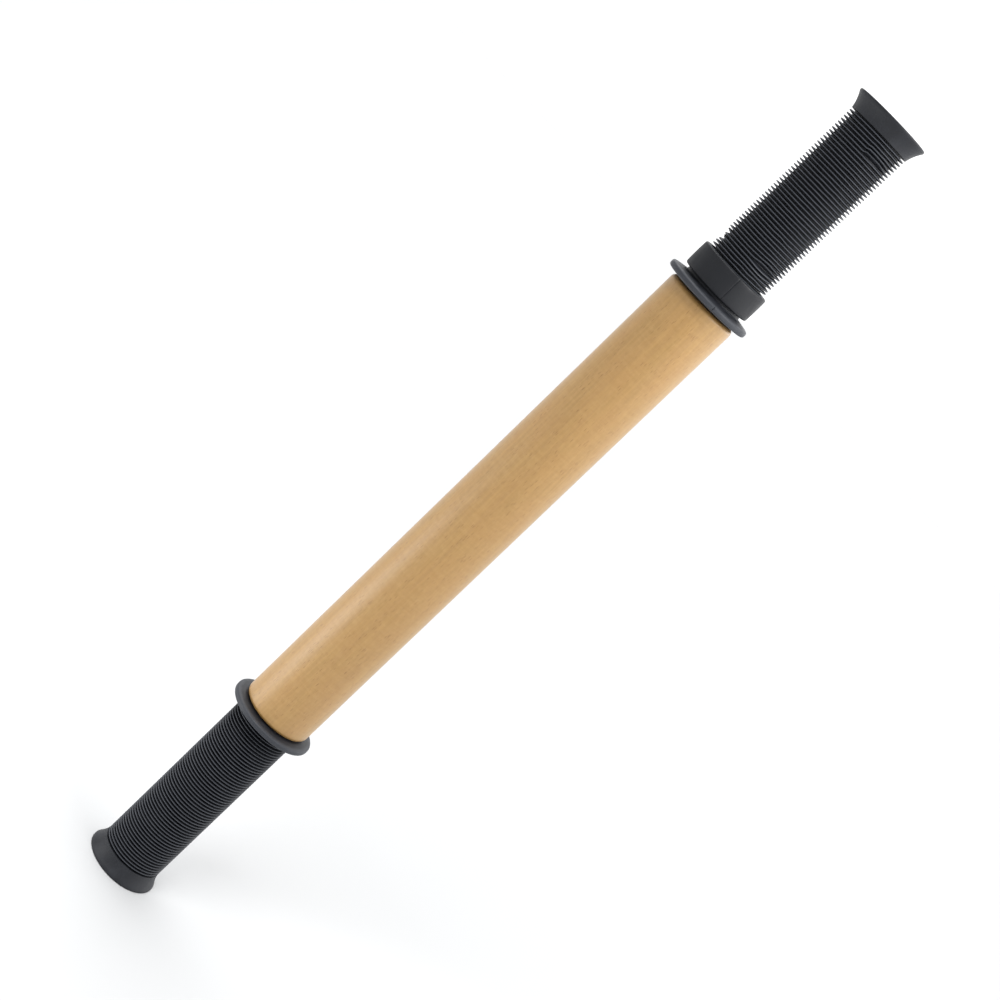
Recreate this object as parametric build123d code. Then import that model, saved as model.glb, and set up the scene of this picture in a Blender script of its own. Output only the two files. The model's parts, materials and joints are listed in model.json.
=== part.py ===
"""Hand-held massage roller: a turned beech barrel that spins on two ball bearings between two bicycle grips.

One steel rod runs from end to end. Each end of it carries the same stack of pieces, clamped by a lock nut:
nut, washer, handle core, spacer and the bearing's inner ring, with a distance tube between the two inner rings.
A finned rubber grip is pushed over each core, and a plug closes its end. A rubber band sits on the upper grip.

Frame: millimetres, +Z along the rod, origin at the centre of the lower end face, on which the roller can stand.
Every piece of the lower end is modelled in place, and the upper end is its mirror image.
"""

import math
import os

from build123d import *

# ---- driving dimensions ----
ROLLER_DIAMETER = 40.0
ROLLER_LENGTH = 300.6
ROLLER_EDGE_RADIUS = 2.5
ROLLER_BORE_DIAMETER = 20.0
END_GAP = 0.5  # free gap between the barrel and each grip's flange

GRIP_LENGTH = 119.2
GRIP_BORE_DIAMETER = 22.2  # a bicycle handlebar's size
FLANGE_DIAMETER = 49.8
FLANGE_FACE_DIAMETER = 40.4
FLANGE_THICKNESS = 5.0
FLANGE_BEVEL_DEPTH = 0.7  # how far the flange's face slopes back towards its rim
FLANGE_RIM_WIDTH = 2.8  # from there its back slopes on to the hub
FLANGE_RIM_RADIUS = 1.0
HUB_DIAMETER = 34.2
HUB_LENGTH = 1.7
HUB_FILLET_RADIUS = 0.9
FIN_TIP_DIAMETER = 35.4
FIN_ROOT_DIAMETER = 30.4
FIN_COUNT = 56
FIN_TIP_WIDTH = 0.55
FIN_ROOT_WIDTH = 1.3
BELL_GAP = 0.5  # free root between the bell and the first fin
BELL_LENGTH = 9.0
BELL_DIAMETER = 41.8
BELL_NECK_DIAMETER = 35.4
BELL_HOLLOW = 0.5  # how far the flare curves in from a straight cone
BELL_RIM_RADIUS = 0.5
BELL_RECESS_DIAMETER = 28.0
BELL_RECESS_DEPTH = 3.2

BAND_START = 6.8  # from the flange's face
BAND_WIDTH = 13.8
BAND_DIAMETER = 40.2
BAND_THICKNESS = 2.35
BAND_EDGE_RADIUS = 0.9

BEARING_BORE = 12.0
BEARING_DIAMETER = 28.0
BEARING_WIDTH = 8.0
BEARING_RECESS = 1.0  # how far each bearing lies inside the barrel's end
BALL_COUNT = 8
BALL_DIAMETER = 4.76
BALL_PITCH_DIAMETER = 20.0
RACE_CLEARANCE = 0.08
RING_SHOULDER = 1.6  # from the balls' pitch circle to each ring's land
RING_CHAMFER = 0.3
SEAL_THICKNESS = 0.6
SEAL_INSET = 0.1
SEAL_SEAT_DIAMETER = 24.6
SEAL_SEAT_DEPTH = 0.8
SEAL_LIP_CLEARANCE = 0.2
CAGE_THICKNESS = 1.3
CAGE_WIDTH = 5.5
CAGE_POCKET_CLEARANCE = 0.12

CORE_END_INSET = 3.5  # the core stops this far inside the bell
CORE_BORE_DIAMETER = 12.1
CORE_SHOULDER_LENGTH = 10.5
NUT_POCKET_DIAMETER = 17.0
NUT_POCKET_DEPTH = 18.0
SHOULDER_CLEARANCE = 1.5  # lets the nut clamp the stack before the rod's shoulder meets the core's

ROD_FIT = 0.02  # radial clearance of the rod in the rings
THREAD_DIAMETER = 8.0
THREAD_HOLE_DIAMETER = 8.6
THREAD_END_INSET = 10.0
NUT_ACROSS_FLATS = 13.0
NUT_HEIGHT = 8.0
NUT_COLLAR_HEIGHT = 1.6
NUT_COLLAR_DIAMETER = 11.4
WASHER_DIAMETER = 16.0
WASHER_THICKNESS = 1.6
SPACER_DIAMETER = 16.4
DISTANCE_TUBE_DIAMETER = 16.0
DISTANCE_TUBE_BORE = 12.2

PLUG_HEAD_DIAMETER = 27.4
PLUG_HEAD_THICKNESS = 2.6
PLUG_HEAD_INSET = 0.5
PLUG_STEM_WALL = 2.0
PLUG_STEM_LENGTH = 5.0
PLUG_FIT = 0.05
EDGE_CHAMFER = 0.5

# ---- places that follow from them ----
TOTAL_LENGTH = 2 * (GRIP_LENGTH + END_GAP) + ROLLER_LENGTH
FLANGE_FACE = GRIP_LENGTH
ROLLER_END = GRIP_LENGTH + END_GAP
BEARING_BASE = ROLLER_END + BEARING_RECESS
BEARING_TOP = BEARING_BASE + BEARING_WIDTH
BEARING_MIDDLE = BEARING_BASE + BEARING_WIDTH / 2
FLANGE_BACK = FLANGE_FACE - FLANGE_THICKNESS
HUB_END = FLANGE_BACK - HUB_LENGTH
FIN_PITCH = (HUB_END - BELL_LENGTH - BELL_GAP) / FIN_COUNT
NUT_SEAT = CORE_END_INSET + NUT_POCKET_DEPTH
CORE_SHOULDER = NUT_SEAT + CORE_SHOULDER_LENGTH
NUT_BASE = NUT_SEAT - WASHER_THICKNESS
MIRROR_PLANE = Plane.XY.offset(TOTAL_LENGTH / 2)


def turned(*outline):
    """A solid of revolution about +Z from a closed outline of (radius, height) corners."""
    return revolve(make_face(Plane.XZ * Polyline(*outline, close=True)), Axis.Z)


def ring(inner_diameter, outer_diameter, bottom, top):
    """A plain ring about +Z between two heights."""
    inner, outer = inner_diameter / 2, outer_diameter / 2
    return turned((inner, bottom), (outer, bottom), (outer, top), (inner, top))


def horizontal_circles(solid, radius, height):
    """The circular edges of that radius at that height."""
    edges = solid.edges().filter_by(GeomType.CIRCLE)
    return [
        edge
        for edge in edges
        if abs(edge.radius - radius) < 1e-4 and abs(edge.arc_center.Z - height) < 1e-4
    ]


# ---- the spinning barrel ----
def make_roller():
    """The beech barrel: rounded at both ends, bored through, with a bearing pocket in each end."""
    top = ROLLER_END + ROLLER_LENGTH
    barrel = ring(ROLLER_BORE_DIAMETER, ROLLER_DIAMETER, ROLLER_END, top)
    for height in (ROLLER_END, top):
        rim = horizontal_circles(barrel, ROLLER_DIAMETER / 2, height)
        barrel = fillet(rim, ROLLER_EDGE_RADIUS)
    pocket = ring(0, BEARING_DIAMETER, ROLLER_END, BEARING_TOP)
    return barrel - pocket - mirror(pocket, about=MIRROR_PLANE)


# ---- the bearing in each end of the barrel ----
def race_groove():
    """The ring that the ball grooves are cut with."""
    path_radius = BALL_PITCH_DIAMETER / 2
    groove_radius = BALL_DIAMETER / 2 + RACE_CLEARANCE
    return Pos(0, 0, BEARING_MIDDLE) * Torus(path_radius, groove_radius)


def make_outer_ring():
    """The outer ring, with its ball groove and a seat for a seal at each face."""
    outer = BEARING_DIAMETER / 2 - ROD_FIT
    land = BALL_PITCH_DIAMETER + 2 * RING_SHOULDER
    body = turned(
        (land / 2, BEARING_BASE),
        (outer - RING_CHAMFER, BEARING_BASE),
        (outer, BEARING_BASE + RING_CHAMFER),
        (outer, BEARING_TOP - RING_CHAMFER),
        (outer - RING_CHAMFER, BEARING_TOP),
        (land / 2, BEARING_TOP),
    )
    seats = [
        ring(0, SEAL_SEAT_DIAMETER, BEARING_BASE, BEARING_BASE + SEAL_SEAT_DEPTH),
        ring(0, SEAL_SEAT_DIAMETER, BEARING_TOP - SEAL_SEAT_DEPTH, BEARING_TOP),
    ]
    return body - seats - race_groove()


def make_inner_ring():
    """The inner ring, with its ball groove."""
    bore = BEARING_BORE / 2
    land = BALL_PITCH_DIAMETER / 2 - RING_SHOULDER
    body = turned(
        (bore + RING_CHAMFER, BEARING_BASE),
        (land, BEARING_BASE),
        (land, BEARING_TOP),
        (bore + RING_CHAMFER, BEARING_TOP),
        (bore, BEARING_TOP - RING_CHAMFER),
        (bore, BEARING_BASE + RING_CHAMFER),
    )
    return body - race_groove()


def ball_places():
    """The balls' centres, evenly spaced round the pitch circle, each with its X axis pointing outwards."""
    circle = PolarLocations(BALL_PITCH_DIAMETER / 2, BALL_COUNT, start_angle=180 / BALL_COUNT)
    return [Pos(0, 0, BEARING_MIDDLE) * place for place in circle]


def make_balls():
    """The steel balls, as separate solids."""
    return Compound(children=[place * Sphere(BALL_DIAMETER / 2) for place in ball_places()])


def make_cage():
    """The cage: one ring with a round pocket for each ball."""
    cage = ring(
        BALL_PITCH_DIAMETER - CAGE_THICKNESS,
        BALL_PITCH_DIAMETER + CAGE_THICKNESS,
        BEARING_MIDDLE - CAGE_WIDTH / 2,
        BEARING_MIDDLE + CAGE_WIDTH / 2,
    )
    pocket = Rot(0, 90, 0) * Cylinder(BALL_DIAMETER / 2 + CAGE_POCKET_CLEARANCE, 3 * CAGE_THICKNESS)
    return cage - [place * pocket for place in ball_places()]


def make_seal(bottom):
    """A bearing's seal: it is held in the outer ring and stays clear of the inner one."""
    lip = BALL_PITCH_DIAMETER - 2 * RING_SHOULDER + 2 * SEAL_LIP_CLEARANCE
    return ring(lip, SEAL_SEAT_DIAMETER - SEAL_INSET, bottom, bottom + SEAL_THICKNESS)


# ---- the clamped stack on the rod ----
def make_rod():
    """The steel rod, turned down to a thread at each end."""
    shank = BEARING_BORE / 2 - ROD_FIT
    thread = THREAD_DIAMETER / 2
    shoulder = CORE_SHOULDER + SHOULDER_CLEARANCE
    return turned(
        (0, THREAD_END_INSET),
        (thread - EDGE_CHAMFER, THREAD_END_INSET),
        (thread, THREAD_END_INSET + EDGE_CHAMFER),
        (thread, shoulder),
        (shank, shoulder),
        (shank, TOTAL_LENGTH - shoulder),
        (thread, TOTAL_LENGTH - shoulder),
        (thread, TOTAL_LENGTH - THREAD_END_INSET - EDGE_CHAMFER),
        (thread - EDGE_CHAMFER, TOTAL_LENGTH - THREAD_END_INSET),
        (0, TOTAL_LENGTH - THREAD_END_INSET),
    )


def make_distance_tube():
    """The tube that keeps the two inner rings apart."""
    return ring(DISTANCE_TUBE_BORE, DISTANCE_TUBE_DIAMETER, BEARING_TOP, TOTAL_LENGTH - BEARING_TOP)


def make_spacer():
    """The ring between the handle core and the bearing's inner ring."""
    return ring(CORE_BORE_DIAMETER, SPACER_DIAMETER, FLANGE_FACE, BEARING_BASE)


def make_handle_core():
    """The core under the grip: bored for the rod, with an inner shoulder and a pocket for the nut."""
    outer = GRIP_BORE_DIAMETER / 2
    bore = CORE_BORE_DIAMETER / 2
    hole = THREAD_HOLE_DIAMETER / 2
    pocket = NUT_POCKET_DIAMETER / 2
    return turned(
        (pocket, CORE_END_INSET),
        (outer - EDGE_CHAMFER, CORE_END_INSET),
        (outer, CORE_END_INSET + EDGE_CHAMFER),
        (outer, FLANGE_FACE),
        (bore, FLANGE_FACE),
        (bore, CORE_SHOULDER),
        (hole, CORE_SHOULDER),
        (hole, NUT_SEAT),
        (pocket, NUT_SEAT),
    )


def make_washer():
    """The flat washer under the nut."""
    return ring(THREAD_HOLE_DIAMETER, WASHER_DIAMETER, NUT_BASE, NUT_SEAT)


def make_lock_nut():
    """The hexagonal lock nut, with the round collar that holds its nylon ring."""
    hexagon = RegularPolygon(NUT_ACROSS_FLATS / 2, 6, major_radius=False)
    hex_height = NUT_HEIGHT - NUT_COLLAR_HEIGHT
    body = Pos(0, 0, NUT_BASE - hex_height) * extrude(hexagon, hex_height)
    collar = ring(0, NUT_COLLAR_DIAMETER, NUT_BASE - NUT_HEIGHT, NUT_BASE - hex_height)
    bore = ring(0, THREAD_DIAMETER + 2 * ROD_FIT, NUT_BASE - NUT_HEIGHT, NUT_BASE)
    return body + collar - bore


# ---- the grips and what closes them ----
def fin_corners(index):
    """The four corners of one fin, as (radius, height), from the flange towards the bell."""
    middle = HUB_END - (index + 0.5) * FIN_PITCH
    root, tip = FIN_ROOT_DIAMETER / 2, FIN_TIP_DIAMETER / 2
    return [
        (root, middle + FIN_ROOT_WIDTH / 2),
        (tip, middle + FIN_TIP_WIDTH / 2),
        (tip, middle - FIN_TIP_WIDTH / 2),
        (root, middle - FIN_ROOT_WIDTH / 2),
    ]


def make_grip():
    """The rubber grip: bevelled flange, hub, a row of thin fins and a flared bell, bored for the core."""
    bore, root = GRIP_BORE_DIAMETER / 2, FIN_ROOT_DIAMETER / 2
    flange, hub = FLANGE_DIAMETER / 2, HUB_DIAMETER / 2
    bell, neck, recess = BELL_DIAMETER / 2, BELL_NECK_DIAMETER / 2, BELL_RECESS_DIAMETER / 2
    bevel_end = FLANGE_FACE - FLANGE_BEVEL_DEPTH
    rim_end = bevel_end - FLANGE_RIM_WIDTH
    fins = [corner for index in range(FIN_COUNT) for corner in fin_corners(index)]
    corners = [
        (bell, 2 * BELL_RIM_RADIUS),
        (bell, 0),
        (recess, 0),
        (recess, BELL_RECESS_DEPTH),
        (bore, BELL_RECESS_DEPTH),
        (bore, FLANGE_FACE),
        (FLANGE_FACE_DIAMETER / 2, FLANGE_FACE),
        (flange, bevel_end),
        (flange, rim_end),
        (hub, FLANGE_BACK),
        (hub, HUB_END),
        (root, HUB_END),
        *fins,
        (root, BELL_LENGTH),
        (neck, BELL_LENGTH),
    ]
    flare_middle = ((bell + neck) / 2 - BELL_HOLLOW, BELL_LENGTH / 2)
    flare = ThreePointArc(corners[-1], flare_middle, corners[0])
    grip = revolve(make_face(Plane.XZ * (Polyline(*corners) + flare)), Axis.Z)
    flange_edges = [
        *horizontal_circles(grip, flange, bevel_end),
        *horizontal_circles(grip, flange, rim_end),
    ]
    grip = fillet(flange_edges, FLANGE_RIM_RADIUS)
    grip = fillet(horizontal_circles(grip, hub, FLANGE_BACK), HUB_FILLET_RADIUS)
    return fillet(horizontal_circles(grip, bell, 0), BELL_RIM_RADIUS)


def make_band():
    """The rubber band stretched over the first fins of the upper grip, modelled on the lower one."""
    top = FLANGE_FACE - BAND_START
    bottom = top - BAND_WIDTH
    band = ring(BAND_DIAMETER - 2 * BAND_THICKNESS, BAND_DIAMETER, bottom, top)
    for height in (bottom, top):
        band = fillet(horizontal_circles(band, BAND_DIAMETER / 2, height), BAND_EDGE_RADIUS)
    return band


def make_end_plug():
    """The push-in plug: a low head inside the bell's recess, and a hollow stem in the core's pocket."""
    head_face = PLUG_HEAD_INSET
    head_back = head_face + PLUG_HEAD_THICKNESS
    head = PLUG_HEAD_DIAMETER / 2
    stem = NUT_POCKET_DIAMETER / 2 - PLUG_FIT
    stem_end = CORE_END_INSET + PLUG_STEM_LENGTH
    plug = turned(
        (0, head_face),
        (head, head_face),
        (head, head_back),
        (stem, head_back),
        (stem, stem_end - EDGE_CHAMFER),
        (stem - EDGE_CHAMFER, stem_end),
        (stem - PLUG_STEM_WALL, stem_end),
        (stem - PLUG_STEM_WALL, head_back),
        (0, head_back),
    )
    return fillet(horizontal_circles(plug, head, head_face), PLUG_HEAD_THICKNESS / 2)


# ---- write one file for each piece ----
def both_ends(name, shape):
    """The same piece at both ends of the roller."""
    return {f"lower_{name}": shape, f"upper_{name}": mirror(shape, about=MIRROR_PLANE)}


def all_pieces():
    """Every piece of the roller, by name."""
    pieces = {
        "roller_barrel": make_roller(),
        "axle_rod": make_rod(),
        "distance_tube": make_distance_tube(),
        "grip_band": mirror(make_band(), about=MIRROR_PLANE),
    }
    end_pieces = {
        "grip": make_grip(),
        "end_plug": make_end_plug(),
        "handle_core": make_handle_core(),
        "washer": make_washer(),
        "lock_nut": make_lock_nut(),
        "spacer": make_spacer(),
        "bearing_outer_ring": make_outer_ring(),
        "bearing_inner_ring": make_inner_ring(),
        "bearing_balls": make_balls(),
        "bearing_cage": make_cage(),
        "bearing_outer_seal": make_seal(BEARING_BASE + SEAL_INSET),
        "bearing_inner_seal": make_seal(BEARING_TOP - SEAL_INSET - SEAL_THICKNESS),
    }
    for name, shape in end_pieces.items():
        pieces.update(both_ends(name, shape))
    return pieces


def main():
    """Writes parts/NAME.step for every piece."""
    os.makedirs("parts", exist_ok=True)
    for name, shape in all_pieces().items():
        export_step(shape, f"parts/{name}.step")


main()
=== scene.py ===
"""Looks for the hand-held massage roller: a beech barrel, two finned rubber grips and a rubber band.

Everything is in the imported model's frame, in metres: +Z runs along the axle, and the roller stands on z = 0.
The camera looks from the -Y side and a little from above, rolled so that +Z points to the picture's
upper right.
Profiles of turned pieces are in millimetres, and MM brings them to metres.
"""

import json
import math

import bpy
import numpy as np
from mathutils import Matrix, Vector


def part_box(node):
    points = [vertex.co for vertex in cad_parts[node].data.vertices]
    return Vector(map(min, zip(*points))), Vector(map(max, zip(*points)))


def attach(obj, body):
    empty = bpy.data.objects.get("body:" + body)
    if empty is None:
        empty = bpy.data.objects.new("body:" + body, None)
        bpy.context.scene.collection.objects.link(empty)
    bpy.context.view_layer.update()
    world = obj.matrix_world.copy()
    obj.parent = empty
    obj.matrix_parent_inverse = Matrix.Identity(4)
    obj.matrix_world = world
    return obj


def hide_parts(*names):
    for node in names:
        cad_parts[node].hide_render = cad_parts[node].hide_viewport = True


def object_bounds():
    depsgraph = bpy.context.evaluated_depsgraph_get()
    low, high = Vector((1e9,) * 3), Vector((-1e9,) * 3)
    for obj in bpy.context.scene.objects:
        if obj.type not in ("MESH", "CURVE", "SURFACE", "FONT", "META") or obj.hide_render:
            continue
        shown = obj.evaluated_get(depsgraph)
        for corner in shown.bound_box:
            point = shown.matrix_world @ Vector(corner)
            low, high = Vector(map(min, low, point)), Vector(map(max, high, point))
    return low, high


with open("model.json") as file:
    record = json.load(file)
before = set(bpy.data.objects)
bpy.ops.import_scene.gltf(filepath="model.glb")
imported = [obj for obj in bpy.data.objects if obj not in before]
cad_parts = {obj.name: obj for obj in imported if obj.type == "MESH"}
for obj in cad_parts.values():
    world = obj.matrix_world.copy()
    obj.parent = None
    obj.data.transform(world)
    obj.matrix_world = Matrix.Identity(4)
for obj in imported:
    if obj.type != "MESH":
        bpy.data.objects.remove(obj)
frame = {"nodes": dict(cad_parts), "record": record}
cad_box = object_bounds()

MM = 0.001
RANDOM = np.random.default_rng(7)
MIDDLE_HEIGHT = (cad_box[0][2] + cad_box[1][2]) / 2

# ---- camera ----
LENS = 67.87
SENSOR_WIDTH = 36.0
CAMERA_DISTANCE = 0.926
CAMERA_PITCH = math.radians(13.05)
AXIS_SLOPE = math.radians(43.88)  # the axle's angle above the picture's horizontal
AIM_POINT = Vector((0.00055, 0.0, 0.28175))

# ---- grips and band, in millimetres ----
GRIP_BORE_RADIUS = 11.12
FLANGE_FACE_RADIUS = 20.2
FLANGE_BEVEL_DEPTH = 0.7
FLANGE_RIM_WIDTH = 2.8
FLANGE_THICKNESS = 5.0
HUB_RADIUS = 17.1
HUB_LENGTH = 1.7
FIN_COUNT = 56
FIN_TIP_RADIUS = 17.7
FIN_ROOT_RADIUS = 15.2
BELL_GAP = 0.5
BELL_LENGTH = 9.0
BELL_RADIUS = 20.9
BELL_HOLLOW = 0.5
BELL_RECESS_RADIUS = 14.0
BELL_RECESS_DEPTH = 3.2
FIN_REACH = MIDDLE_HEIGHT - (BELL_LENGTH + BELL_GAP / 2) * MM  # of the last fins, from the middle
BAND_BORE_RADIUS = 17.75
BAND_CROWN = 0.12
BAND_EDGE_RADIUS = 0.9

# One fin, from valley to valley: (distance in pitches, 0 in the valley to 1 on the tip).
FIN_SHAPE = [
    (-0.5, 0.0),
    (-0.37, 0.03),
    (-0.31, 0.18),
    (-0.24, 0.6),
    (-0.16, 0.9),
    (-0.07, 1.0),
    (0.07, 1.0),
    (0.16, 0.9),
    (0.24, 0.6),
    (0.31, 0.18),
    (0.37, 0.03),
]

# Where fins of the upper grip are bent: the angles in degrees where a bend starts and ends, how gently
# it does each, and for each fin its push towards the bell and its drop towards the axle.
UPPER_BENDS = [
    (-96, -28, 33, 33, {10: (-0.35, 0.0), 11: (-0.65, 0.0), 12: (-0.8, 0.1), 13: (0.8, 0.1)}),
    (-96, -28, 33, 33, {14: (0.6, 0.0), 15: (0.32, 0.0), 16: (0.15, 0.0)}),
    (-89, -26, 7, 30, {49: (0.1, 0.0), 50: (0.95, 0.15), 51: (0.8, 0.0), 52: (0.45, 0.0), 53: (0.15, 0.0)}),
    (150, 208, 14, 14, {10: (-0.35, 0.5), 11: (0.5, 1.3), 12: (-0.45, 0.9), 13: (0.3, 0.4)}),
    (-60, 60, 30, 30, {8: (0.25, 0.0), 9: (-0.2, 0.2)}),
]

# ---- the moulding seam ----
SIDE_STEPS = 136  # round a turned piece
SEAM_ANGLE = math.radians(-78.0)
SEAM_DEPTH = 0.45
SEAM_HALF_WIDTH = 0.25
SEAM_OFFSETS = np.radians([-2.0, -1.0, -0.6, -0.3, 0.0, 0.3, 0.6, 1.0, 2.0])


# ---- camera, light and floor ----
def make_camera():
    """The camera, aimed at a point on the axle and rolled about its own view."""
    forward = Vector((0.0, math.cos(CAMERA_PITCH), -math.sin(CAMERA_PITCH)))
    along = Vector((0.0, math.sin(CAMERA_PITCH), math.cos(CAMERA_PITCH)))
    side = Vector((1.0, 0.0, 0.0))
    right = math.cos(AXIS_SLOPE) * along + math.sin(AXIS_SLOPE) * side
    up = math.sin(AXIS_SLOPE) * along - math.cos(AXIS_SLOPE) * side
    data = bpy.data.cameras.new("camera")
    data.lens = LENS
    data.sensor_width = SENSOR_WIDTH
    camera = bpy.data.objects.new("camera", data)
    turn = Matrix((right, up, -forward)).transposed().to_4x4()
    camera.matrix_world = Matrix.Translation(AIM_POINT - CAMERA_DISTANCE * forward) @ turn
    bpy.context.scene.collection.objects.link(camera)
    bpy.context.scene.camera = camera


def add_softbox(name, place, target, width, height, power, spread):
    """A rectangular area light that faces its target and shines into a cone of that many degrees."""
    data = bpy.data.lights.new(name, "AREA")
    data.shape = "RECTANGLE"
    data.size = width
    data.size_y = height
    data.energy = power
    data.spread = math.radians(spread)
    light = bpy.data.objects.new(name, data)
    light.location = place
    light.rotation_mode = "QUATERNION"
    light.rotation_quaternion = (Vector(target) - Vector(place)).to_track_quat("-Z", "Y")
    light.visible_camera = False
    bpy.context.scene.collection.objects.link(light)


def make_surroundings():
    """A studio whose light is brightest from behind and from the right; its backdrop is white all round."""
    world = bpy.data.worlds.new("studio")
    world.use_nodes = True
    tree = world.node_tree
    direction = add_node(tree, "ShaderNodeTexCoord").outputs["Generated"]
    axes = add_node(tree, "ShaderNodeSeparateXYZ", {"Vector": direction}).outputs
    depth = remap(tree, axes["Y"], -0.9, 0.2, 0.35, 1.3)
    left = remap(tree, axes["X"], -0.9, -0.2, 0.35, 1.0)
    right = remap(tree, axes["X"], 0.0, 0.8, 0.0, 0.9)
    low = remap(tree, axes["Z"], 0.1, 0.6, 1.0, 0.0)
    sides = math_node(tree, "ADD", left, math_node(tree, "MULTIPLY", right, low))
    strength = math_node(tree, "MULTIPLY", depth, sides)
    seen_directly = add_node(tree, "ShaderNodeLightPath").outputs["Is Camera Ray"]
    strength = math_node(tree, "MAXIMUM", strength, seen_directly)
    tree.links.new(strength, tree.nodes["Background"].inputs["Strength"])
    tree.nodes["Background"].inputs["Color"].default_value = (1.0, 1.0, 1.0, 1.0)
    bpy.context.scene.world = world
    bpy.context.scene.view_settings.view_transform = "Standard"


def add_sun(name, source, strength, angle):
    """A broad distant light from the direction of source."""
    data = bpy.data.lights.new(name, "SUN")
    data.energy = strength
    data.angle = math.radians(angle)
    light = bpy.data.objects.new(name, data)
    light.rotation_mode = "QUATERNION"
    light.rotation_quaternion = Vector(source).to_track_quat("Z", "Y")
    bpy.context.scene.collection.objects.link(light)


def make_studio():
    """The surroundings, two softboxes, a broad light from the front and from the back, and a pale floor."""
    make_surroundings()
    add_softbox("key_light", (-0.27, -0.1, 0.055), (0.0, 0.0, 0.12), 0.18, 0.24, 0.48, 180.0)
    add_softbox("fill_light", (0.45, -0.25, 0.75), (0.0, 0.0, 0.47), 0.3, 0.3, 0.47, 70.0)
    add_sun("front_light", (-0.42, -0.8, 1.4), 1.5, 20.0)
    add_sun("back_light", (-0.66, 0.74, 1.9), 1.3, 44.0)

    mesh = bpy.data.meshes.new("floor")
    reach = 6.0
    corners = [(-reach, -reach, 0.0), (reach, -reach, 0.0), (reach, reach, 0.0), (-reach, reach, 0.0)]
    mesh.from_pydata(corners, [], [(0, 1, 2, 3)])
    floor = bpy.data.objects.new("floor", mesh)
    bpy.context.scene.collection.objects.link(floor)
    mesh.materials.append(make_floor_material())


# ---- material helpers ----
def add_node(tree, kind, inputs=None, **settings):
    """A new node with its settings, and its inputs set to values or joined to other nodes' outputs."""
    made = tree.nodes.new(kind)
    for key, value in settings.items():
        setattr(made, key, value)
    for key, value in (inputs or {}).items():
        if isinstance(value, bpy.types.NodeSocket):
            tree.links.new(value, made.inputs[key])
        else:
            made.inputs[key].default_value = value
    return made


def new_material(name):
    """A material with only a Principled shader: (material, tree, shader)."""
    material = bpy.data.materials.new(name)
    material.use_nodes = True
    tree = material.node_tree
    return material, tree, tree.nodes["Principled BSDF"]


def grain_coordinates(tree, along=1.0, across=1.0):
    """Coordinates in the piece's own frame, in units of so many millimetres along and across the axle."""
    place = add_node(tree, "ShaderNodeTexCoord").outputs["Object"]
    scale = (1 / MM / across, 1 / MM / across, 1 / MM / along)
    return add_node(tree, "ShaderNodeMapping", {"Vector": place, "Scale": scale}).outputs["Vector"]


def noise(tree, vector, detail=2.0, roughness=0.5):
    """Noise with features of about one unit."""
    inputs = {"Vector": vector, "Scale": 1.0, "Detail": detail, "Roughness": roughness}
    return add_node(tree, "ShaderNodeTexNoise", inputs).outputs["Fac"]


def remap(tree, value, low, high, to_low=0.0, to_high=1.0):
    """value brought from low..high to to_low..to_high, and held at the ends."""
    inputs = {"Value": value, "From Min": low, "From Max": high, "To Min": to_low, "To Max": to_high}
    return add_node(tree, "ShaderNodeMapRange", inputs).outputs["Result"]


def mix_colour(tree, factor, first, second):
    """Two colours mixed by factor."""
    made = add_node(tree, "ShaderNodeMix", data_type="RGBA")
    for index, value in ((0, factor), (6, first), (7, second)):
        if isinstance(value, bpy.types.NodeSocket):
            tree.links.new(value, made.inputs[index])
        else:
            made.inputs[index].default_value = value
    return made.outputs[2]


def math_node(tree, operation, first, second=0.0):
    """One arithmetic step."""
    made = add_node(tree, "ShaderNodeMath", {0: first, 1: second}, operation=operation)
    return made.outputs["Value"]


def add_bump(tree, height, distance, strength=1.0, normal=None):
    """The normal of a surface raised by height times distance."""
    inputs = {"Height": height, "Distance": distance, "Strength": strength}
    if normal is not None:
        inputs["Normal"] = normal
    return add_node(tree, "ShaderNodeBump", inputs).outputs["Normal"]


def set_shader(tree, shader, **inputs):
    """Sets or joins the shader's inputs; underscores in the names stand for spaces."""
    for key, value in inputs.items():
        socket = shader.inputs[key.replace("_", " ")]
        if isinstance(value, bpy.types.NodeSocket):
            tree.links.new(value, socket)
        else:
            socket.default_value = value


# ---- materials ----
def make_floor_material():
    """Matt white paper with a faint tooth."""
    material, tree, shader = new_material("floor_paper")
    tooth = noise(tree, grain_coordinates(tree, 0.8, 0.8), detail=3.0)
    set_shader(
        tree,
        shader,
        Base_Color=(0.582, 0.588, 0.594, 1.0),
        Roughness=0.9,
        Specular_IOR_Level=0.1,
        Normal=add_bump(tree, tooth, 0.00002),
    )
    return material


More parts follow.
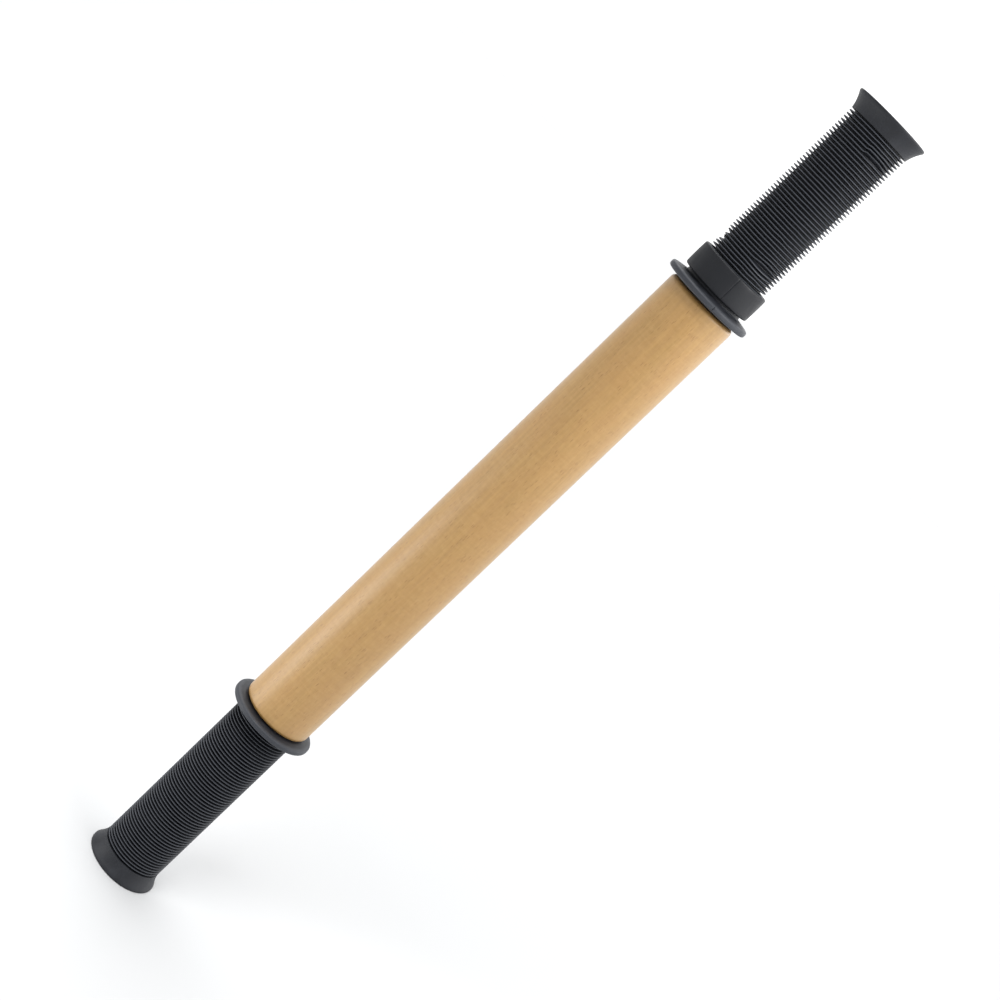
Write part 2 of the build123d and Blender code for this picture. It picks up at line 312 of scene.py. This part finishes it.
def make_beech():
    """Steamed beech under satin lacquer: soft rings, streaks, short dark flecks and faint turning ripple; the
    ripple's lighter bands in the colour are partly the wood's own tone and partly a painted highlight ripple.
    """
    material, tree, shader = new_material("beech")
    streaks = noise(tree, grain_coordinates(tree, 45.0, 1.6), detail=5.0, roughness=0.62)
    fibres = noise(tree, grain_coordinates(tree, 9.0, 0.3), detail=4.0, roughness=0.7)
    clouds = noise(tree, grain_coordinates(tree, 24.0, 9.0), detail=3.0)
    mottling = noise(tree, grain_coordinates(tree, 3.0, 1.5), detail=2.0)

    place = add_node(tree, "ShaderNodeTexCoord").outputs["Object"]
    pith = add_node(
        tree,
        "ShaderNodeMapping",
        {"Vector": place, "Location": (38.0, -52.0, 0.0), "Scale": (1000.0, 1000.0, 160.0)},
    ).outputs["Vector"]
    rings = add_node(
        tree,
        "ShaderNodeTexWave",
        {"Vector": pith, "Scale": 0.115, "Distortion": 3.0, "Detail": 2.0, "Detail Scale": 0.35},
        wave_type="RINGS",
        rings_direction="Z",
        wave_profile="SAW",
    ).outputs["Fac"]

    cells = add_node(
        tree,
        "ShaderNodeTexVoronoi",
        {"Vector": grain_coordinates(tree, 5.5, 0.62), "Scale": 1.0, "Randomness": 1.0},
        feature="F1",
    ).outputs["Distance"]
    flecks = remap(tree, cells, 0.12, 0.26, 1.0, 0.0)
    patches = remap(tree, noise(tree, grain_coordinates(tree, 12.0, 4.0), detail=3.0), 0.45, 0.56)
    flecks = math_node(tree, "MULTIPLY", flecks, patches)

    colour = mix_colour(
        tree, remap(tree, streaks, 0.35, 0.68), (0.37, 0.215, 0.0655, 1.0), (0.45, 0.27, 0.09, 1.0)
    )
    colour = mix_colour(
        tree, remap(tree, clouds, 0.35, 0.65, 0.0, 0.5), colour, (0.43, 0.24, 0.079, 1.0)
    )
    colour = mix_colour(
        tree, remap(tree, rings, 0.55, 1.0, 0.0, 0.25), colour, (0.36, 0.2, 0.075, 1.0)
    )
    colour = mix_colour(
        tree, remap(tree, fibres, 0.5, 0.72, 0.0, 0.42), colour, (0.34, 0.195, 0.08, 1.0)
    )
    colour = mix_colour(
        tree, remap(tree, mottling, 0.5, 0.7, 0.0, 0.22), colour, (0.52, 0.32, 0.125, 1.0)
    )
    ripple = noise(tree, grain_coordinates(tree, 1.5, 8.0), detail=3.0)
    # Turning ripple: lighter bands across the grain, partly the wood's own tone and partly a painted highlight
    # that stands in for the ripple's glints in the lacquer.
    colour = mix_colour(
        tree, remap(tree, ripple, 0.35, 0.68, 0.0, 0.14), colour, (0.56, 0.37, 0.155, 1.0)
    )
    colour = mix_colour(
        tree, math_node(tree, "MULTIPLY", flecks, 0.85), colour, (0.24, 0.108, 0.03, 1.0)
    )

    normal = add_bump(tree, ripple, 0.00006, 0.5)
    normal = add_bump(tree, fibres, 0.00002, 0.6, normal)
    lacquer = add_bump(tree, noise(tree, grain_coordinates(tree, 2.2, 6.0), detail=2.0), 0.00014, 0.9)
    set_shader(
        tree,
        shader,
        Base_Color=colour,
        Roughness=remap(tree, streaks, 0.3, 0.7, 0.42, 0.5),
        Specular_IOR_Level=0.4,
        Coat_Weight=0.9,
        Coat_Tint=(1.0, 0.97, 0.9, 1.0),
        Coat_Roughness=0.42,
        Normal=normal,
        Coat_Normal=lacquer,
    )
    return material


def dust_and_painted_highlight_on_edges(tree):
    """How much dust and painted highlight a grip gets by its distance from the axle: most on the fins' tips,
    less on the flange's rim.
    """
    place = add_node(tree, "ShaderNodeTexCoord").outputs["Object"]
    flat = add_node(
        tree, "ShaderNodeVectorMath", {0: place, 1: (1.0, 1.0, 0.0)}, operation="MULTIPLY"
    ).outputs["Vector"]
    radius = add_node(tree, "ShaderNodeVectorMath", {0: flat}, operation="LENGTH").outputs["Value"]
    # Painted highlight and dust: the fins' tips are lightened, partly for dust and partly for the light they
    # catch.
    below = remap(tree, radius, (FIN_TIP_RADIUS - 0.5) * MM, FIN_TIP_RADIUS * MM, 0.0, 0.65)
    above = remap(tree, radius, (FIN_TIP_RADIUS + 0.1) * MM, (FIN_TIP_RADIUS + 0.4) * MM, 0.65, 0.0)
    height = add_node(tree, "ShaderNodeSeparateXYZ", {"Vector": place}).outputs["Z"]
    from_middle = math_node(tree, "ABSOLUTE", math_node(tree, "SUBTRACT", height, MIDDLE_HEIGHT))
    before_bell = remap(tree, from_middle, FIN_REACH - 0.0002, FIN_REACH, 1.0, 0.0)
    tips = math_node(tree, "MULTIPLY", math_node(tree, "MINIMUM", below, above), before_bell)
    # Painted highlight and dust: the flange's rim is lightened the same way, a little less.
    rim = remap(tree, radius, 22.0 * MM, 23.5 * MM, 0.0, 0.4)
    return math_node(tree, "MAXIMUM", tips, rim)


def make_rubber(name, colour, dust_and_highlight_colour, dusty_and_highlit_edges=False):
    """Moulded rubber: fine skin and cloudy sheen, with dust and a painted highlight on the grips' edges."""
    material, tree, shader = new_material(name)
    skin = noise(tree, grain_coordinates(tree, 0.35, 0.35), detail=3.0, roughness=0.6)
    cloudy = noise(tree, grain_coordinates(tree, 9.0, 6.0), detail=3.0)
    dust_and_highlight_mask = remap(tree, cloudy, 0.35, 0.75, 0.0, 0.12)
    # On the grips the edges are mixed towards the dust colour: partly dust, partly a painted highlight on the
    # fins' tips and the flange's rim.
    if dusty_and_highlit_edges:
        dust_and_highlight_mask = math_node(tree, "MAXIMUM", dust_and_highlight_mask, dust_and_painted_highlight_on_edges(tree))
    set_shader(
        tree,
        shader,
        Base_Color=mix_colour(tree, dust_and_highlight_mask, colour, dust_and_highlight_colour),
        Roughness=remap(tree, cloudy, 0.3, 0.7, 0.46, 0.62),
        Specular_IOR_Level=0.4,
        Normal=add_bump(tree, skin, 0.00003, 0.5),
    )
    return material


def make_plastic(name, colour, roughness):
    """Moulded plastic with a fine spark-eroded skin."""
    material, tree, shader = new_material(name)
    skin = noise(tree, grain_coordinates(tree, 0.25, 0.25), detail=2.0)
    cloudy = noise(tree, grain_coordinates(tree, 6.0, 6.0), detail=2.0)
    darker = tuple(0.8 * channel for channel in colour[:3]) + (1.0,)
    set_shader(
        tree,
        shader,
        Base_Color=mix_colour(tree, remap(tree, cloudy, 0.35, 0.7), colour, darker),
        Roughness=remap(tree, cloudy, 0.3, 0.7, roughness - 0.05, roughness + 0.08),
        Specular_IOR_Level=0.4,
        Normal=add_bump(tree, skin, 0.00002, 0.4),
    )
    return material


def make_metal(name, colour, roughness, ring_pitch):
    """Turned or drawn metal: fine marks round the axle and a slightly uneven shine."""
    material, tree, shader = new_material(name)
    marks = noise(tree, grain_coordinates(tree, ring_pitch, 6.0), detail=3.0, roughness=0.7)
    stains = noise(tree, grain_coordinates(tree, 8.0, 5.0), detail=2.0)
    duller = tuple(0.82 * channel for channel in colour[:3]) + (1.0,)
    set_shader(
        tree,
        shader,
        Base_Color=mix_colour(tree, remap(tree, stains, 0.35, 0.7), colour, duller),
        Metallic=1.0,
        Roughness=remap(tree, marks, 0.3, 0.7, roughness - 0.06, roughness + 0.1),
        Normal=add_bump(tree, marks, 0.00001, 0.4),
    )
    return material


def make_materials():
    """One material for each slot in the record."""
    black = (0.0088, 0.01, 0.014, 1.0)
    return {
        "beech": make_beech(),
        # The grip's dust colour also paints the highlight on its fins' tips and flange rim.
        "grip_rubber": make_rubber("grip_rubber", black, (0.076, 0.083, 0.098, 1.0), True),
        "band_rubber": make_rubber("band_rubber", (0.006, 0.007, 0.01, 1.0), (0.012, 0.014, 0.019, 1.0)),
        "seal_rubber": make_rubber("seal_rubber", (0.02, 0.02, 0.02, 1.0), (0.04, 0.04, 0.04, 1.0)),
        "plug_plastic": make_plastic("plug_plastic", (0.02, 0.02, 0.022, 1.0), 0.45),
        "core_plastic": make_plastic("core_plastic", (0.2, 0.2, 0.21, 1.0), 0.5),
        "cage_plastic": make_plastic("cage_plastic", (0.62, 0.58, 0.47, 1.0), 0.45),
        "rod_aluminium": make_metal("rod_aluminium", (0.78, 0.78, 0.8, 1.0), 0.32, 4.0),
        "spacer_aluminium": make_metal("spacer_aluminium", (0.75, 0.75, 0.77, 1.0), 0.36, 0.15),
        "zinc_steel": make_metal("zinc_steel", (0.62, 0.64, 0.67, 1.0), 0.34, 1.5),
        "bearing_steel": make_metal("bearing_steel", (0.58, 0.58, 0.59, 1.0), 0.22, 0.1),
        "polished_balls": make_metal("polished_balls", (0.66, 0.66, 0.67, 1.0), 0.12, 2.0),
    }


def paint(piece, material):
    """Gives a piece that one material."""
    piece.data.materials.clear()
    piece.data.materials.append(material)


# ---- turned pieces ----
def seamed_angles():
    """Angles round the axle: even steps, with closer ones beside the seam."""
    even = np.linspace(-math.pi, math.pi, SIDE_STEPS, endpoint=False)
    clear = np.abs(even - SEAM_ANGLE) > math.radians(3.0)
    return np.sort(np.concatenate([even[clear], SEAM_ANGLE + SEAM_OFFSETS]))


def rounded(corners, steps=5):
    """Points of a closed outline through (distance, radius, rounding) corners, each replaced by an arc."""
    points = []
    for index, (distance, radius, rounding) in enumerate(corners):
        corner = np.array([distance, radius])
        if rounding == 0:
            points.append(corner)
            continue
        before = np.array(corners[index - 1][:2]) - corner
        after = np.array(corners[(index + 1) % len(corners)][:2]) - corner
        before /= np.linalg.norm(before)
        after /= np.linalg.norm(after)
        half = math.acos(np.clip(before @ after, -1, 1)) / 2
        centre = corner + (before + after) / np.linalg.norm(before + after) * rounding / math.sin(half)
        start = corner + before * rounding / math.tan(half) - centre
        end = corner + after * rounding / math.tan(half) - centre
        sweep = math.pi - 2 * half
        for part in np.linspace(0, 1, steps):
            swung = (math.sin((1 - part) * sweep) * start + math.sin(part * sweep) * end) / math.sin(sweep)
            points.append(centre + swung)
    return np.array(points)


def make_turned(name, angles, heights, radii, slot, replaced):
    """A closed piece turned about the axle from heights and radii, both (points, angles) in metres."""
    rows, columns = radii.shape
    places = np.stack([radii * np.cos(angles), radii * np.sin(angles), heights], axis=-1).reshape(-1, 3)
    row, column = np.meshgrid(np.arange(rows), np.arange(columns), indexing="ij")
    next_row, next_column = (row + 1) % rows, (column + 1) % columns
    corners = [(row, column), (row, next_column), (next_row, next_column), (next_row, column)]
    faces = np.stack([r * columns + c for r, c in corners], axis=-1).reshape(-1, 4)
    outline_area = np.sum(radii[:, 0] * (np.roll(heights[:, 0], -1) - np.roll(heights[:, 0], 1)))
    if outline_area < 0:
        faces = faces[:, ::-1]
    mesh = bpy.data.meshes.new(name)
    mesh.from_pydata(places.tolist(), [], faces.tolist())
    mesh.polygons.foreach_set("use_smooth", [True] * len(faces))
    mesh.set_sharp_from_angle(angle=math.radians(50.0))
    mesh.update()
    piece = bpy.data.objects.new(name, mesh)
    bpy.context.scene.collection.objects.link(piece)
    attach(piece, "axle")
    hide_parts(replaced)
    paint(piece, MATERIALS[slot])


def seam_groove(angles, radius, depth):
    """How deep the moulding seam cuts in at each angle."""
    offset = np.abs(angles - SEAM_ANGLE) * radius
    return depth * np.clip(1.2 - offset / SEAM_HALF_WIDTH, 0, 1)


def fin_profile(length):
    """(distance, radius, rise, fin) of every point along the fins, from the flange towards the bell."""
    first = FLANGE_THICKNESS + HUB_LENGTH
    pitch = (length - BELL_LENGTH - BELL_GAP - first) / FIN_COUNT
    return np.array(
        [
            (
                first + (fin + 0.5 + offset) * pitch,
                FIN_ROOT_RADIUS + rise * (FIN_TIP_RADIUS - FIN_ROOT_RADIUS),
                rise,
                fin,
            )
            for fin in range(FIN_COUNT)
            for offset, rise in FIN_SHAPE
        ]
    )


def flare_profile(length, steps=7):
    """(distance, radius) along the bell, hollowed a little from a straight cone."""
    part = np.linspace(0, 1, steps)
    distance = length - BELL_LENGTH + part * (BELL_LENGTH - 1.0)
    radius = FIN_TIP_RADIUS + part * (BELL_RADIUS - FIN_TIP_RADIUS)
    return np.stack([distance, radius - BELL_HOLLOW * 4 * part * (1 - part)], axis=-1)


def fin_waves(angles, size):
    """Small uneven pushes of the fins, largest beside the seam, as (fins, angles)."""
    turn = np.remainder(angles - SEAM_ANGLE + math.pi, 2 * math.pi) - math.pi
    beside = 0.35 + np.exp(-((turn / 0.5) ** 2))
    waves = np.zeros((FIN_COUNT, len(angles)))
    for order in (3, 6, 11):
        phase = RANDOM.uniform(0, 2 * math.pi, (FIN_COUNT, 1))
        waves += RANDOM.normal(size=(FIN_COUNT, 1)) * np.sin(order * turn + phase)
    return size * beside * waves


def fin_bends(angles, bends):
    """How far the bent fins are pushed along the axle and dropped towards it, both as (fins, angles)."""
    push = np.zeros((FIN_COUNT, len(angles)))
    drop = np.zeros((FIN_COUNT, len(angles)))
    for start, end, start_ramp, end_ramp, fins in bends:
        turn = np.remainder(np.degrees(angles) - start, 360)
        window = np.minimum(turn / start_ramp, (end - start - turn) / end_ramp).clip(0, 1)
        window = window * window * (3 - 2 * window)
        for fin, (fin_push, fin_drop) in fins.items():
            push[fin] += fin_push * window
            drop[fin] += fin_drop * window
    return push, drop


def make_grip(name, node, bends, waviness, turned_by):
    """A grip that stands for its CAD node: flange, hub, fins and bell, with bent fins and a seam."""
    low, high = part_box(node)
    length = (high.z - low.z) / MM
    flange_radius = min(high.x, high.y, -low.x, -low.y) / MM
    hub_end = FLANGE_THICKNESS + HUB_LENGTH
    start = rounded(
        [
            (0.0, GRIP_BORE_RADIUS, 0),
            (0.0, FLANGE_FACE_RADIUS, 0.5),
            (FLANGE_BEVEL_DEPTH, flange_radius, 1.0),
            (FLANGE_BEVEL_DEPTH + FLANGE_RIM_WIDTH, flange_radius, 1.0),
            (FLANGE_THICKNESS, HUB_RADIUS, 0.9),
            (hub_end, HUB_RADIUS, 0.25),
            (hub_end, FIN_ROOT_RADIUS, 0),
        ]
    )
    fins = fin_profile(length)
    neck = [(length - BELL_LENGTH, FIN_ROOT_RADIUS)]
    end = rounded(
        [
            (length - 1.0, BELL_RADIUS, 0),
            (length, BELL_RADIUS, 0.5),
            (length, BELL_RECESS_RADIUS, 0.3),
            (length - BELL_RECESS_DEPTH, BELL_RECESS_RADIUS, 0),
            (length - BELL_RECESS_DEPTH, GRIP_BORE_RADIUS, 0),
        ]
    )
    profile = np.concatenate([start, fins[:, :2], neck, flare_profile(length), end[1:]])

    angles = seamed_angles()
    distance = np.repeat(profile[:, :1], len(angles), axis=1)
    radius = np.repeat(profile[:, 1:], len(angles), axis=1)
    push, drop = fin_bends(angles, bends)
    push += fin_waves(angles, waviness)
    rows = slice(len(start), len(start) + len(fins))
    rise, fin = fins[:, 2:3], fins[:, 3].astype(int)
    distance[rows] += rise * push[fin]
    radius[rows] -= rise * drop[fin]
    on_flange = (profile[:, 1:] > FIN_TIP_RADIUS + 0.1) & (profile[:, :1] < FLANGE_THICKNESS)
    radius -= on_flange * seam_groove(angles, flange_radius, SEAM_DEPTH)
    faces_up = high.z < MIDDLE_HEIGHT
    heights = high.z - distance * MM if faces_up else low.z + distance * MM
    make_turned(name, angles + turned_by, heights, radius * MM, "grip_rubber", node)


def make_band():
    """The slightly crowned band with its own seam."""
    low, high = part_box("grip_band")
    width = (high.z - low.z) / MM
    side_radius = min(high.x, high.y, -low.x, -low.y) / MM - BAND_CROWN
    edges = rounded(
        [
            (0.0, BAND_BORE_RADIUS, 0),
            (0.0, side_radius, BAND_EDGE_RADIUS),
            (width, side_radius, BAND_EDGE_RADIUS),
            (width, BAND_BORE_RADIUS, 0),
        ]
    )
    part = np.linspace(0.15, 0.85, 7)
    crown = np.stack([part * width, side_radius + BAND_CROWN * 4 * part * (1 - part)], axis=-1)
    profile = np.concatenate([edges[:6], crown, edges[6:]])
    angles = seamed_angles()
    distance = np.repeat(profile[:, :1], len(angles), axis=1)
    radius = np.repeat(profile[:, 1:], len(angles), axis=1)
    outside = profile[:, 1:] > BAND_BORE_RADIUS + 0.1
    radius -= outside * seam_groove(angles, side_radius, SEAM_DEPTH / 2)
    make_turned("grip_band_skin", angles, low.z + distance * MM, radius * MM, "band_rubber", "grip_band")


MATERIALS = make_materials()
for subpart in frame["record"]["subparts"]:
    paint(frame["nodes"][subpart["node"]], MATERIALS[subpart["material_slot"]])

make_grip("lower_grip_skin", "lower_grip", [], 0.02, math.radians(150.0))
make_grip("upper_grip_skin", "upper_grip", UPPER_BENDS, 0.045, 0.0)
make_band()
make_studio()
make_camera()
